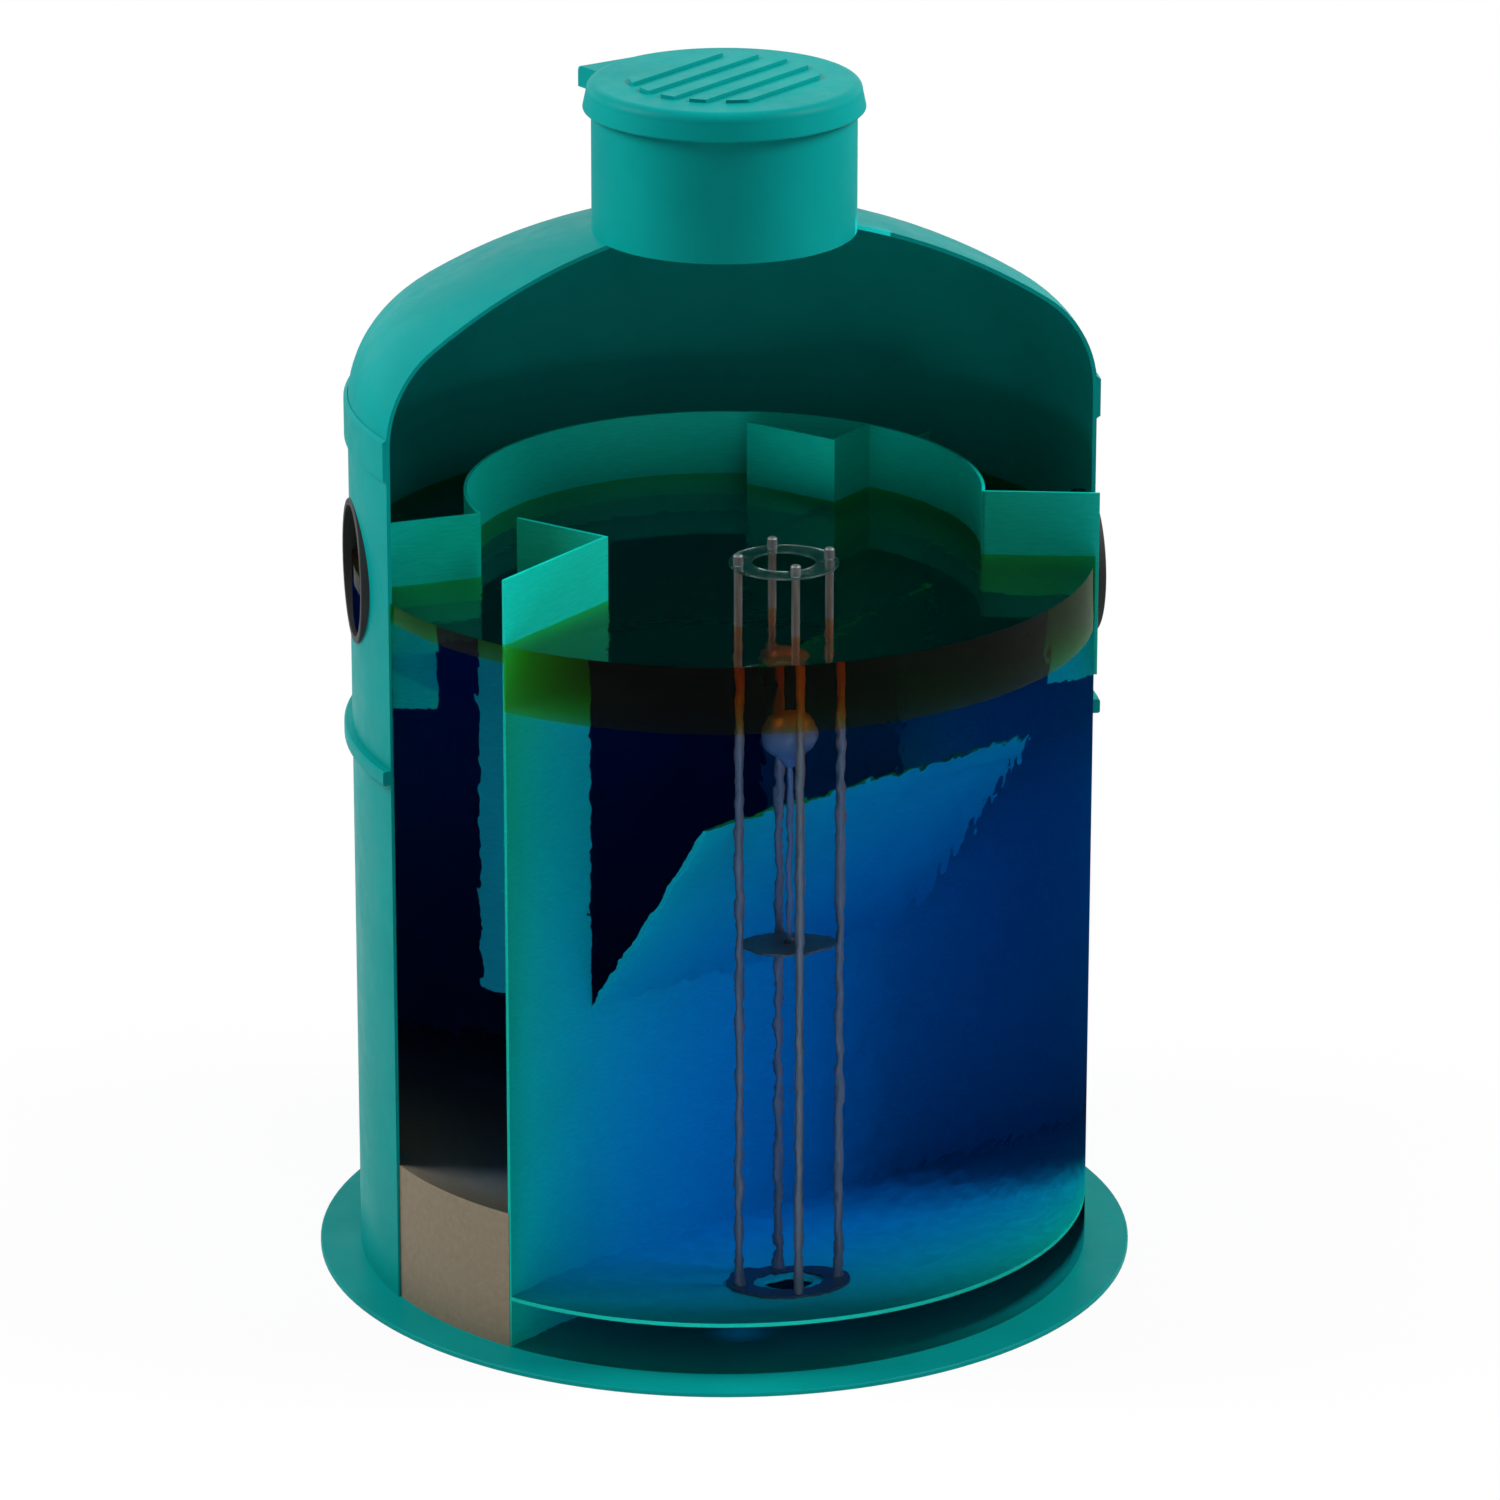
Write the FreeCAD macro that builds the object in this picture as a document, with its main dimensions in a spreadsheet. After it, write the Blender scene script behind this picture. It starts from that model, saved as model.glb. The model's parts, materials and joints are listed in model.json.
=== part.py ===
import FreeCAD, Part
import os

import Sketcher

# Oil separator built as a sectional model: a round glass-fibre tank with a dished top, its front
# sector cut away so that the partitions, the wave baffles and the float valve can be seen.
# Millimetres and degrees. The origin is the centre of the base disc's underside and Z is up.
# The inlet faces -X and the outlet +X. Turns are counted from +X towards +Y.

DIMENSIONS = {
    # tank
    "tank_radius": 900,
    "shell_wall": 10,
    "base_margin": 100,
    "base_thick": 12,
    "base_edge": 3,
    "lower_tall": 1335,
    "upper_tall": 810,
    "knuckle_radius": 271,
    "crown_radius": 1436,
    "flange_tall": 35,
    "flange_reach": 20,
    "flange_edge": 4,
    "band_tall": 104,
    "band_above": 26,
    "band_thick": 9,
    "band_edge": 6,
    # what is left of the shell and of the dome where the front sector is cut away
    "cut_from": -4,
    "cut_sweep": 202.5,
    # neck
    "neck_radius": 315,
    "neck_wall": 10,
    "neck_tall": 343,
    # cover with its hinge box and its raised ribs
    "lid_margin": 20,
    "lid_taper": 8,
    "lid_plate": 20,
    "lid_skirt": 67,
    "lid_skirt_wall": 6,
    "lid_edge_round": 24,
    "lid_foot_round": 5,
    "rib_circle": 225,
    "rib_wide": 38,
    "rib_pitch": 78,
    "rib_tall": 8,
    "rib_turn": -71.5,
    "hinge_turn": 115,
    "hinge_gap": 69,
    "hinge_drop": 56,
    "hood_step": 36,
    "hood_wide": 250,
    "hood_beyond": 28,
    "hood_root": 40,
    "hood_tall": 52,
    "hood_edge_round": 14,
    "hood_wall": 6,
    "lug_radius": 10,
    "lug_inset": 40,
    "pin_radius": 5,
    "pin_play": 0.05,
    "pin_head_radius": 8,
    "pin_head_thick": 3,
    "bracket_gap": 7,
    "bracket_tall": 43,
    "bracket_eye": 12,
    # pipe seals
    "seal_radius": 174,
    "seal_grip": 10,
    "seal_bore": 157.5,
    "seal_outward": 3,
    "seal_inward": 22,
    "seal_edge": 2,
    "inlet_level": 1776,
    "outlet_drop": 74,
    # inner walls
    "plate_thick": 8,
    "wall_tall": 1926,
    "baffle_tall": 457,
    "channel_wide": 265,
    "inlet_baffle_turn": 190.5,
    "outlet_baffle_turn": -13.5,
    "seal_room": 8,
    "partition_turn": 45,
    "front_panel_long": 404,
    "back_panel_long": 422,
    "back_panel_step": 86,
    "cheek_reach": 257,
    "weir_tall": 778,
    "incline_reach": 288,
    "incline_rise": 506,
    "edge_band_wide": 50,
    "edge_band_thick": 6,
    "floor_rise": 129,
    "floor_thick": 10,
    "floor_port": 55,
    # float valve
    "valve_from_wall": 316.6,
    "valve_turn": -86,
    "valve_bore": 75,
    "seat_radius": 134,
    "seat_thick": 6,
    "rod_circle": 110,
    "rod_radius": 10,
    "rod_turn": 4,
    "rod_play": 0.3,
    "guide_radius": 129,
    "guide_thick": 5,
    "guide_rise": 1776,
    "cap_radius": 12,
    "cap_tall": 25,
    "cap_edge": 3,
    "float_rise": 1383,
    "float_radius": 60,
    "funnel_wide": 27,
    "funnel_tall": 26,
    "funnel_foot": 9,
    "stem_radius": 7,
    "disc_rise": 857,
    "disc_thick": 6,
    "disc_play": 0.5,
    "boss_radius": 14,
    "boss_tall": 14,
    "boss_edge": 4,
}
SHELL_SIDES = ("right", "rear", "left")
ROD_COUNT = 4
RIB_PLACES = (-2, -1, 0, 1, 2)

# Places that follow from the sizes above: levels, radii and the corners that the pieces share.
SHELL_IN = "(dims.tank_radius - dims.shell_wall)"
JOINT_LEVEL = "(dims.base_thick + dims.lower_tall)"
DOME_START = f"({JOINT_LEVEL} + dims.upper_tall)"
BAND_TOP = f"({DOME_START} + dims.band_above)"
BAND_FOOT = f"({BAND_TOP} - dims.band_tall)"
BAND_FACE = "(dims.tank_radius + dims.band_thick)"
FLANGE_FOOT = f"({JOINT_LEVEL} - dims.flange_tall / 2)"
FLANGE_TOP = f"({JOINT_LEVEL} + dims.flange_tall / 2)"
FLANGE_FACE = "(dims.tank_radius + dims.flange_reach)"
KNUCKLE_CENTRE = "(dims.tank_radius - dims.knuckle_radius)"
ARC_STEP = "(dims.crown_radius - dims.knuckle_radius)"
CROWN_DROP = f"sqrt({ARC_STEP}^2 - {KNUCKLE_CENTRE}^2)"
CROWN_CENTRE = f"({DOME_START} - {CROWN_DROP})"
CROWN_IN = "(dims.crown_radius - dims.shell_wall)"
NECK_IN = "(dims.neck_radius - dims.neck_wall)"
NECK_FOOT = f"({CROWN_CENTRE} + sqrt(dims.crown_radius^2 - dims.neck_radius^2))"
NECK_TOP = f"({NECK_FOOT} + dims.neck_tall)"
LID_RADIUS = "(dims.neck_radius + dims.lid_margin)"
LID_TOP = f"({NECK_TOP} + dims.lid_plate)"
LID_FOOT = f"({LID_TOP} - dims.lid_skirt)"
HOOD_TOP = f"({LID_TOP} - dims.hood_step)"
HINGE_LEVEL = f"({HOOD_TOP} - dims.hinge_drop)"
HINGE_REACH = f"({LID_RADIUS} + dims.hinge_gap)"
HOOD_REACH = f"({HINGE_REACH} + dims.hood_beyond)"
HOOD_FOOT = f"({HOOD_TOP} - dims.hood_tall)"
HOOD_ROOT = f"({LID_RADIUS} - dims.hood_root)"
LUG_OUT = "(dims.hood_wide / 2 - dims.lug_inset)"
OUTLET_LEVEL = "(dims.inlet_level - dims.outlet_drop)"
WALL_TOP = "(dims.base_thick + dims.wall_tall)"
BAFFLE_FOOT = f"({WALL_TOP} - dims.baffle_tall)"
RING_OUT = f"({SHELL_IN} - dims.channel_wide)"
RING_IN = f"({RING_OUT} - dims.plate_thick)"
HALF_PLATE = "(dims.plate_thick / 2)"
FRONT_CORNER = f"({SHELL_IN} - dims.front_panel_long + {HALF_PLATE})"
BACK_CORNER = f"({SHELL_IN} - dims.back_panel_long + {HALF_PLATE})"
SPAN_FROM = f"(dims.plate_thick - {FRONT_CORNER})"
SPAN_TO = f"({BACK_CORNER} - dims.plate_thick)"
WEIR_TOP = "(dims.base_thick + dims.weir_tall)"
INCLINE_TOP = f"({WEIR_TOP} + dims.incline_rise)"
FLOOR_TOP = "(dims.base_thick + dims.floor_rise)"
FLOOR_FOOT = f"({FLOOR_TOP} - dims.floor_thick)"
SEAT_TOP = f"({FLOOR_TOP} + dims.seat_thick)"
GUIDE_FOOT = f"({SEAT_TOP} + dims.guide_rise)"
GUIDE_TOP = f"({GUIDE_FOOT} + dims.guide_thick)"
CAP_TOP = f"({GUIDE_TOP} + dims.cap_tall)"
FLOAT_LEVEL = f"({SEAT_TOP} + dims.float_rise)"
FUNNEL_TOP = f"({FLOAT_LEVEL} - sqrt(dims.float_radius^2 - dims.funnel_wide^2))"
FUNNEL_FOOT = f"({FUNNEL_TOP} - dims.funnel_tall)"
DISC_FOOT = f"({SEAT_TOP} + dims.disc_rise)"
DISC_TOP = f"({DISC_FOOT} + dims.disc_thick)"
DISC_REACH = "(dims.rod_circle - dims.rod_radius - dims.disc_play)"
BOSS_TOP = f"({DISC_TOP} + dims.boss_tall)"
VALVE_REACH = f"({SHELL_IN} - dims.valve_from_wall)"
VALVE_X = f"({VALVE_REACH} * cos(dims.valve_turn))"
VALVE_Y = f"({VALVE_REACH} * sin(dims.valve_turn))"

document = FreeCAD.newDocument("oil_separator")
sheet = document.addObject("Spreadsheet::Sheet", "dims")
for row, (alias, value) in enumerate(DIMENSIONS.items(), start=1):
    sheet.set(f"A{row}", alias)
    sheet.set(f"B{row}", str(value))
    sheet.setAlias(f"B{row}", alias)
document.recompute()

nodes = {}


def node(label, item):
    """Counts an object as a finished piece; its label is the name of its file."""
    item.Label = label
    nodes[label] = item
    return item


def size(expression):
    """The number that an expression of sheet values gives now, where a sketch starts from it."""
    return float(sheet.evalExpression(expression))


def place(item, x=None, y=None, z=None, turn=None, axis=(0, 0, 1)):
    """Binds an object's position and its turn about one axis to the sheet."""
    if turn is not None:
        item.Placement.Rotation = FreeCAD.Rotation(FreeCAD.Vector(*axis), 1)
        item.setExpression("Placement.Rotation.Angle", turn)
    for letter, expression in (("x", x), ("y", y), ("z", z)):
        if expression is not None:
            item.setExpression(f"Placement.Base.{letter}", expression)
    return item


def origin_plane(body, role):
    return next(plane for plane in body.Origin.OriginFeatures if plane.Role == role)


def point(across, up):
    return FreeCAD.Vector(size(across), size(up), 0)


def tie(sketch, kind, expression, *spot):
    """Adds a constraint whose value the sheet gives."""
    index = sketch.addConstraint(Sketcher.Constraint(kind, *spot, size(expression)))
    sketch.setExpression(f"Constraints[{index}]", expression)


def tie_point(sketch, across, up, edge, end):
    tie(sketch, "DistanceX", across, -1, 1, edge, end)
    tie(sketch, "DistanceY", up, -1, 1, edge, end)


def draw_outline(sketch, outline):
    """Draws a closed outline and ties all of it to the sheet.

    Each step is the edge that arrives at a corner: (across, up) for a line, or
    ("left" or "right", centre across, centre up, across, up) for an arc that bends that way.
    The first step is a line, the one that closes the outline.
    """
    corners = [point(*step[-2:]) for step in outline]
    edges = []
    for index, step in enumerate(outline):
        start, finish = corners[index - 1], corners[index]
        if len(step) == 2:
            edges.append((sketch.addGeometry(Part.LineSegment(start, finish), False), 1, 2))
            tie_point(sketch, *step, edges[-1][0], 2)
            continue
        centre = point(*step[1:3])
        circle = Part.Circle(centre, FreeCAD.Vector(0, 0, 1), (finish - centre).Length)
        first, last = (1, 2) if step[0] == "left" else (2, 1)
        ends = (start, finish) if step[0] == "left" else (finish, start)
        arc = Part.ArcOfCircle(circle, circle.parameter(ends[0]), circle.parameter(ends[1]))
        edge = sketch.addGeometry(arc, False)
        edges.append((edge, first, last))
        tie_point(sketch, *step[1:3], edge, 3)
        spoke = finish - centre
        if abs(spoke.y) > abs(spoke.x):
            tie(sketch, "DistanceX", step[3], -1, 1, edge, last)
        else:
            tie(sketch, "DistanceY", step[4], -1, 1, edge, last)
    for index, (edge, _, last) in enumerate(edges):
        following, first, _ = edges[(index + 1) % len(edges)]
        sketch.addConstraint(Sketcher.Constraint("Coincident", edge, last, following, first))


def draw_circle(sketch, across, up, radius):
    circle = Part.Circle(point(across, up), FreeCAD.Vector(0, 0, 1), size(radius))
    edge = sketch.addGeometry(circle, False)
    tie_point(sketch, across, up, edge, 3)
    tie(sketch, "Radius", radius, edge)


def drawing(body, name, plane, *outlines, circles=(), lift=None, turn=None):
    """A sketch on one of the body's own planes, lifted off it and turned in it where asked."""
    sketch = body.newObject("Sketcher::SketchObject", name)
    sketch.AttachmentSupport = [(origin_plane(body, plane), "")]
    sketch.MapMode = "FlatFace"
    sketch.Visibility = False
    if turn is not None:
        sketch.AttachmentOffset.Rotation = FreeCAD.Rotation(FreeCAD.Vector(0, 0, 1), 1)
        sketch.setExpression("AttachmentOffset.Rotation.Angle", turn)
    if lift is not None:
        sketch.setExpression("AttachmentOffset.Base.z", lift)
    for outline in outlines:
        draw_outline(sketch, outline)
    for circle in circles:
        draw_circle(sketch, *circle)
    return sketch


def feature(body, kind, name, sketch, **expressions):
    """Adds a pad, a pocket, a revolution or a groove of a sketch and makes it the body's tip."""
    item = body.newObject(f"PartDesign::{kind}", name)
    item.Profile = sketch
    if kind in ("Revolution", "Groove"):
        item.ReferenceAxis = (sketch, ["V_Axis"])
    for key, expression in expressions.items():
        item.setExpression(key, expression)
    body.Tip = item
    return item


def symmetric_pad(body, name, sketch, length):
    feature(body, "Pad", name, sketch, Length=length).SideType = "Symmetric"


def mirrored_pad(body, name, sketch, length):
    """A pad on one side of the body's XZ plane and the same on the other side."""
    side = feature(body, "Pad", name, sketch, Length=length)
    other = body.newObject("PartDesign::Mirrored", f"{name}_mirrored")
    other.Originals = [side]
    other.MirrorPlane = (origin_plane(body, "XZ_Plane"), [""])
    body.Tip = other


def turned_body(name, outline, sweep="360", start=None):
    """A body turned about Z from an outline of (radius, height) corners."""
    body = document.addObject("PartDesign::Body", name)
    profile = drawing(body, f"{name}_outline", "XZ_Plane", outline)
    feature(body, "Revolution", f"{name}_turned", profile, Angle=sweep)
    return place(body, turn=start)


def raised_body(name, plan, low, high, turn, circles=()):
    """A body raised from a plan between two heights and turned about Z."""
    body = document.addObject("PartDesign::Body", name)
    ground = drawing(body, f"{name}_plan", "XY_Plane", plan, circles=circles, lift=low)
    feature(body, "Pad", f"{name}_raised", ground, Length=f"{high} - {low}")
    return place(body, turn=turn)


def box_outline(left, low, right, high):
    return [(left, low), (right, low), (right, high), (left, high)]


def round_wall(name, outer, inner, low, high, start, sweep):
    return turned_body(name, box_outline(inner, low, outer, high), sweep, start)


def radial_plate(name, near, low, high, turn, far=SHELL_IN, near_is_round=False):
    """An upright plate on a radius of the tank, its far end shaped to the shell's curve."""
    reach = f"sqrt({far}^2 - {HALF_PLATE}^2)"
    start = f"sqrt({near}^2 - {HALF_PLATE}^2)" if near_is_round else near
    plan = [(reach, f"-{HALF_PLATE}"), ("left", "0", "0", reach, HALF_PLATE), (start, HALF_PLATE)]
    if near_is_round:
        plan.append(("right", "0", "0", start, f"-{HALF_PLATE}"))
    else:
        plan.append((start, f"-{HALF_PLATE}"))
    return raised_body(name, plan, low, high, turn)


def across_x(name, radius, start, length, level):
    """A cylinder that lies along X."""
    item = document.addObject("Part::Cylinder", name)
    item.setExpression("Radius", radius)
    item.setExpression("Height", length)
    return place(item, x=start, z=level, turn="90", axis=(0, 1, 0))


def cut(name, base, *tools):
    """The base less each of the tools, one after another."""
    for count, tool in enumerate(tools, start=1):
        item = document.addObject("Part::Cut", name if count == len(tools) else f"{name}_cut_{count}")
        item.Base = base
        item.Tool = tool
        base = item
    return base


def make_base():
    edge = "(dims.base_thick - dims.base_edge)"
    rim = "(dims.tank_radius + dims.base_margin)"
    node("base_disc", turned_body("base_disc", [
        ("0", "0"),
        (rim, "0"),
        (rim, edge),
        (f"{rim} - dims.base_edge", "dims.base_thick"),
        ("0", "dims.base_thick"),
    ]))


def make_shell():
    """The round wall in two heights, each in three staves; the pipes pass the side staves."""
    stave = f"dims.cut_sweep / {len(SHELL_SIDES)}"
    hole = "dims.seal_radius - dims.seal_grip"
    drills = {
        "right": across_x("outlet_hole", hole, f"{SHELL_IN} - dims.seal_inward",
                          "dims.seal_outward + dims.shell_wall + dims.seal_inward", OUTLET_LEVEL),
        "left": across_x("inlet_hole", hole, "-dims.tank_radius - dims.seal_outward",
                         "dims.seal_outward + dims.shell_wall + dims.seal_inward",
                         "dims.inlet_level"),
    }
    for index, side in enumerate(SHELL_SIDES):
        start = f"dims.cut_from + {index} * {stave}"
        node(f"lower_shell_{side}", round_wall(
            f"lower_shell_{side}", "dims.tank_radius", SHELL_IN, "dims.base_thick", JOINT_LEVEL,
            start, stave))
        wall = round_wall(f"upper_wall_{side}", "dims.tank_radius", SHELL_IN, JOINT_LEVEL,
                          DOME_START, start, stave)
        if side in drills:
            wall = cut(f"upper_shell_{side}", wall, drills[side])
        node(f"upper_shell_{side}", wall)


def make_rings():
    """The flange ring where the shell's two heights meet, and the band laminated under the dome."""
    node("joint_flange", turned_body("joint_flange", [
        ("dims.tank_radius", FLANGE_FOOT),
        (f"{FLANGE_FACE} - dims.flange_edge", FLANGE_FOOT),
        (FLANGE_FACE, f"{FLANGE_FOOT} + dims.flange_edge"),
        (FLANGE_FACE, f"{FLANGE_TOP} - dims.flange_edge"),
        (f"{FLANGE_FACE} - dims.flange_edge", FLANGE_TOP),
        ("dims.tank_radius", FLANGE_TOP),
    ], "dims.cut_sweep", "dims.cut_from"))
    node("joint_band", turned_body("joint_band", [
        ("dims.tank_radius", BAND_FOOT),
        (BAND_FACE, f"{BAND_FOOT} + dims.band_edge"),
        (BAND_FACE, f"{BAND_TOP} - dims.band_edge"),
        ("dims.tank_radius", BAND_TOP),
    ], "dims.cut_sweep", "dims.cut_from"))


def make_dome():
    """The dished top: a small knuckle arc at the wall that runs tangent into the large crown arc."""
    share = f"{KNUCKLE_CENTRE} / {ARC_STEP}"
    climb = f"{CROWN_DROP} / {ARC_STEP}"
    node("dome", turned_body("dome", [
        ("dims.tank_radius", DOME_START),
        ("left", KNUCKLE_CENTRE, DOME_START,
         f"dims.crown_radius * {share}", f"{CROWN_CENTRE} + dims.crown_radius * {climb}"),
        ("left", "0", CROWN_CENTRE,
         NECK_IN, f"{CROWN_CENTRE} + sqrt(dims.crown_radius^2 - {NECK_IN}^2)"),
        (NECK_IN, f"{CROWN_CENTRE} + sqrt({CROWN_IN}^2 - {NECK_IN}^2)"),
        ("right", "0", CROWN_CENTRE,
         f"{CROWN_IN} * {share}", f"{CROWN_CENTRE} + {CROWN_IN} * {climb}"),
        ("right", KNUCKLE_CENTRE, DOME_START, SHELL_IN, DOME_START),
    ], "dims.cut_sweep", "dims.cut_from"))


def make_neck():
    """The neck stands on the crown, so its foot follows the crown's arc."""
    node("neck", turned_body("neck", [
        (NECK_IN, NECK_TOP),
        (NECK_IN, f"{CROWN_CENTRE} + sqrt(dims.crown_radius^2 - {NECK_IN}^2)"),
        ("right", "0", CROWN_CENTRE, "dims.neck_radius", NECK_FOOT),
        ("dims.neck_radius", NECK_TOP),
    ]))


def rib_plan(place_on_lid):
    """One raised rib between two parallel lines, its ends on the rib circle."""
    low = f"({place_on_lid} * dims.rib_pitch - dims.rib_wide / 2)"
    high = f"({place_on_lid} * dims.rib_pitch + dims.rib_wide / 2)"
    low_end = f"sqrt(dims.rib_circle^2 - {low}^2)"
    high_end = f"sqrt(dims.rib_circle^2 - {high}^2)"
    return [
        (low_end, low),
        ("left", "0", "0", high_end, high),
        (f"-{high_end}", high),
        ("left", "0", "0", f"-{low_end}", low),
    ]


def make_cover():
    """The cover is one moulding: the hinge box first, then the tapered cap over it, then the ribs."""
    body = document.addObject("PartDesign::Body", "lid")
    corner = (f"{HOOD_REACH} - dims.hood_edge_round", f"{HOOD_TOP} - dims.hood_edge_round")
    ceiling = f"{HOOD_TOP} - dims.hood_wall"
    end_wall = f"{HOOD_REACH} - dims.hood_wall"
    hood = drawing(body, "hood_outline", "XZ_Plane", [
        (HOOD_ROOT, ceiling),
        (corner[0], ceiling),
        ("right", *corner, end_wall, corner[1]),
        (end_wall, HOOD_FOOT),
        (HOOD_REACH, HOOD_FOOT),
        (HOOD_REACH, corner[1]),
        ("left", *corner, corner[0], HOOD_TOP),
        (HOOD_ROOT, HOOD_TOP),
    ])
    symmetric_pad(body, "hood_top", hood, "dims.hood_wide")
    side = drawing(body, "hood_side_outline", "XZ_Plane", [
        (HOOD_ROOT, HOOD_FOOT),
        (HOOD_REACH, HOOD_FOOT),
        (HOOD_REACH, corner[1]),
        ("left", *corner, corner[0], HOOD_TOP),
        (HOOD_ROOT, HOOD_TOP),
    ], lift="dims.hood_wide / 2 - dims.hood_wall")
    mirrored_pad(body, "hood_side", side, "dims.hood_wall")
    lug = drawing(body, "lug_outline", "XZ_Plane", [
        (f"{HINGE_REACH} - dims.lug_radius", HINGE_LEVEL),
        ("left", HINGE_REACH, HINGE_LEVEL, f"{HINGE_REACH} + dims.lug_radius", HINGE_LEVEL),
        (f"{HINGE_REACH} + dims.lug_radius", ceiling),
        (f"{HINGE_REACH} - dims.lug_radius", ceiling),
    ], circles=[(HINGE_REACH, HINGE_LEVEL, "dims.pin_radius")], lift=f"{LUG_OUT} - dims.hood_wall")
    mirrored_pad(body, "lug", lug, "dims.hood_wall")

    top = f"({LID_RADIUS} - dims.lid_taper)"
    middle = "dims.lid_skirt_wall / 2"
    room = drawing(body, "cap_room", "XZ_Plane", [
        ("0", HOOD_FOOT),
        (f"{LID_RADIUS} - {middle}", HOOD_FOOT),
        (f"{top} - {middle}", f"{LID_TOP} - dims.lid_plate / 2"),
        ("0", f"{LID_TOP} - dims.lid_plate / 2"),
    ])
    feature(body, "Groove", "cap_room_cleared", room, Angle="360")
    foot = (f"{LID_RADIUS} - dims.lid_foot_round", f"{LID_FOOT} + dims.lid_foot_round")
    edge = (f"{top} - dims.lid_edge_round", f"{LID_TOP} - dims.lid_edge_round")
    cap = drawing(body, "cap_outline", "XZ_Plane", [
        ("0", f"{LID_TOP} - dims.lid_plate"),
        (f"{top} - dims.lid_skirt_wall", f"{LID_TOP} - dims.lid_plate"),
        (f"{LID_RADIUS} - dims.lid_skirt_wall", LID_FOOT),
        (foot[0], LID_FOOT),
        ("left", *foot, LID_RADIUS, foot[1]),
        (top, edge[1]),
        ("left", *edge, edge[0], LID_TOP),
        ("0", LID_TOP),
    ])
    feature(body, "Revolution", "cap", cap, Angle="360")
    ribs = drawing(body, "rib_outlines", "XY_Plane", *map(rib_plan, RIB_PLACES),
                   lift=LID_TOP, turn="dims.rib_turn")
    feature(body, "Pad", "ribs", ribs, Length="dims.rib_tall")
    node("lid", place(body, turn="dims.hinge_turn"))


def make_hinge():
    """The pin with its heads, and the bracket on the neck whose eye turns on the pin."""
    pin = document.addObject("PartDesign::Body", "hinge_pin")
    shaft = drawing(pin, "shaft_circle", "XZ_Plane",
                    circles=[(HINGE_REACH, HINGE_LEVEL, "dims.pin_radius")])
    symmetric_pad(pin, "shaft", shaft, f"2 * {LUG_OUT}")
    head = drawing(pin, "head_circle", "XZ_Plane", lift=LUG_OUT,
                   circles=[(HINGE_REACH, HINGE_LEVEL, "dims.pin_head_radius")])
    mirrored_pad(pin, "head", head, "dims.pin_head_thick")
    node("hinge_pin", place(pin, turn="dims.hinge_turn"))

    bracket = document.addObject("PartDesign::Body", "bracket_arm")
    arm_top = f"({LID_FOOT} - dims.bracket_gap)"
    arm = drawing(bracket, "arm_outline", "XZ_Plane", [
        (NECK_IN, f"{arm_top} - dims.bracket_tall"),
        (HINGE_REACH, f"{HINGE_LEVEL} - dims.bracket_eye"),
        ("left", HINGE_REACH, HINGE_LEVEL, f"{HINGE_REACH} - dims.bracket_eye", HINGE_LEVEL),
        (f"{LID_RADIUS} + dims.bracket_gap", arm_top),
        (NECK_IN, arm_top),
    ], circles=[(HINGE_REACH, HINGE_LEVEL, "dims.pin_radius + dims.pin_play")])
    symmetric_pad(bracket, "arm", arm, f"2 * ({LUG_OUT} - dims.hood_wall - dims.bracket_gap)")
    place(bracket, turn="dims.hinge_turn")
    neck_core = document.addObject("Part::Cylinder", "neck_core")
    neck_core.setExpression("Radius", "dims.neck_radius")
    neck_core.setExpression("Height", NECK_TOP)
    node("hinge_bracket", cut("hinge_bracket", bracket, neck_core))


def make_seals():
    """A rubber ring in each pipe hole; the wall itself cuts the groove that grips it."""
    length = "(dims.seal_outward + dims.shell_wall + dims.seal_inward)"
    ring = [
        ("dims.seal_bore", "0"),
        ("dims.seal_radius - dims.seal_edge", "0"),
        ("dims.seal_radius", "dims.seal_edge"),
        ("dims.seal_radius", f"{length} - dims.seal_edge"),
        ("dims.seal_radius - dims.seal_edge", length),
        ("dims.seal_bore", length),
    ]
    inlet = place(turned_body("inlet_ring", ring), x="-dims.tank_radius - dims.seal_outward",
                  z="dims.inlet_level", turn="90", axis=(0, 1, 0))
    outlet = place(turned_body("outlet_ring", ring), x=f"{SHELL_IN} - dims.seal_inward",
                   z=OUTLET_LEVEL, turn="90", axis=(0, 1, 0))
    node("inlet_seal", cut("inlet_seal", inlet, nodes["upper_shell_left"]))
    node("outlet_seal", cut("outlet_seal", outlet, nodes["upper_shell_right"]))


def make_channel():
    """The short ring wall that parts the channel from the middle, and the baffles at its ends.

    The outlet baffle stands in the cut sector and keeps the edge that was laminated into the wall.
    """
    inlet_sweep = "dims.inlet_baffle_turn - dims.partition_turn"
    outlet_sweep = "dims.partition_turn - dims.outlet_baffle_turn"
    node("outlet_channel_wall", round_wall("outlet_channel_wall", RING_OUT, RING_IN, BAFFLE_FOOT,
                                           WALL_TOP, "dims.outlet_baffle_turn", outlet_sweep))
    node("inlet_channel_wall", round_wall("inlet_channel_wall", RING_OUT, RING_IN, BAFFLE_FOOT,
                                          WALL_TOP, "dims.partition_turn", inlet_sweep))
    node("outlet_baffle", radial_plate("outlet_baffle", RING_OUT, BAFFLE_FOOT, WALL_TOP,
                                       "dims.outlet_baffle_turn", far="dims.tank_radius",
                                       near_is_round=True))
    plate = radial_plate("inlet_baffle_plate", RING_OUT, BAFFLE_FOOT, WALL_TOP,
                         "dims.inlet_baffle_turn", near_is_round=True)
    room = across_x("inlet_seal_room", "dims.seal_radius + dims.seal_room", "-dims.tank_radius",
                    "dims.shell_wall + dims.seal_inward + dims.seal_room", "dims.inlet_level")
    node("inlet_baffle", cut("inlet_baffle", plate, room))


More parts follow.
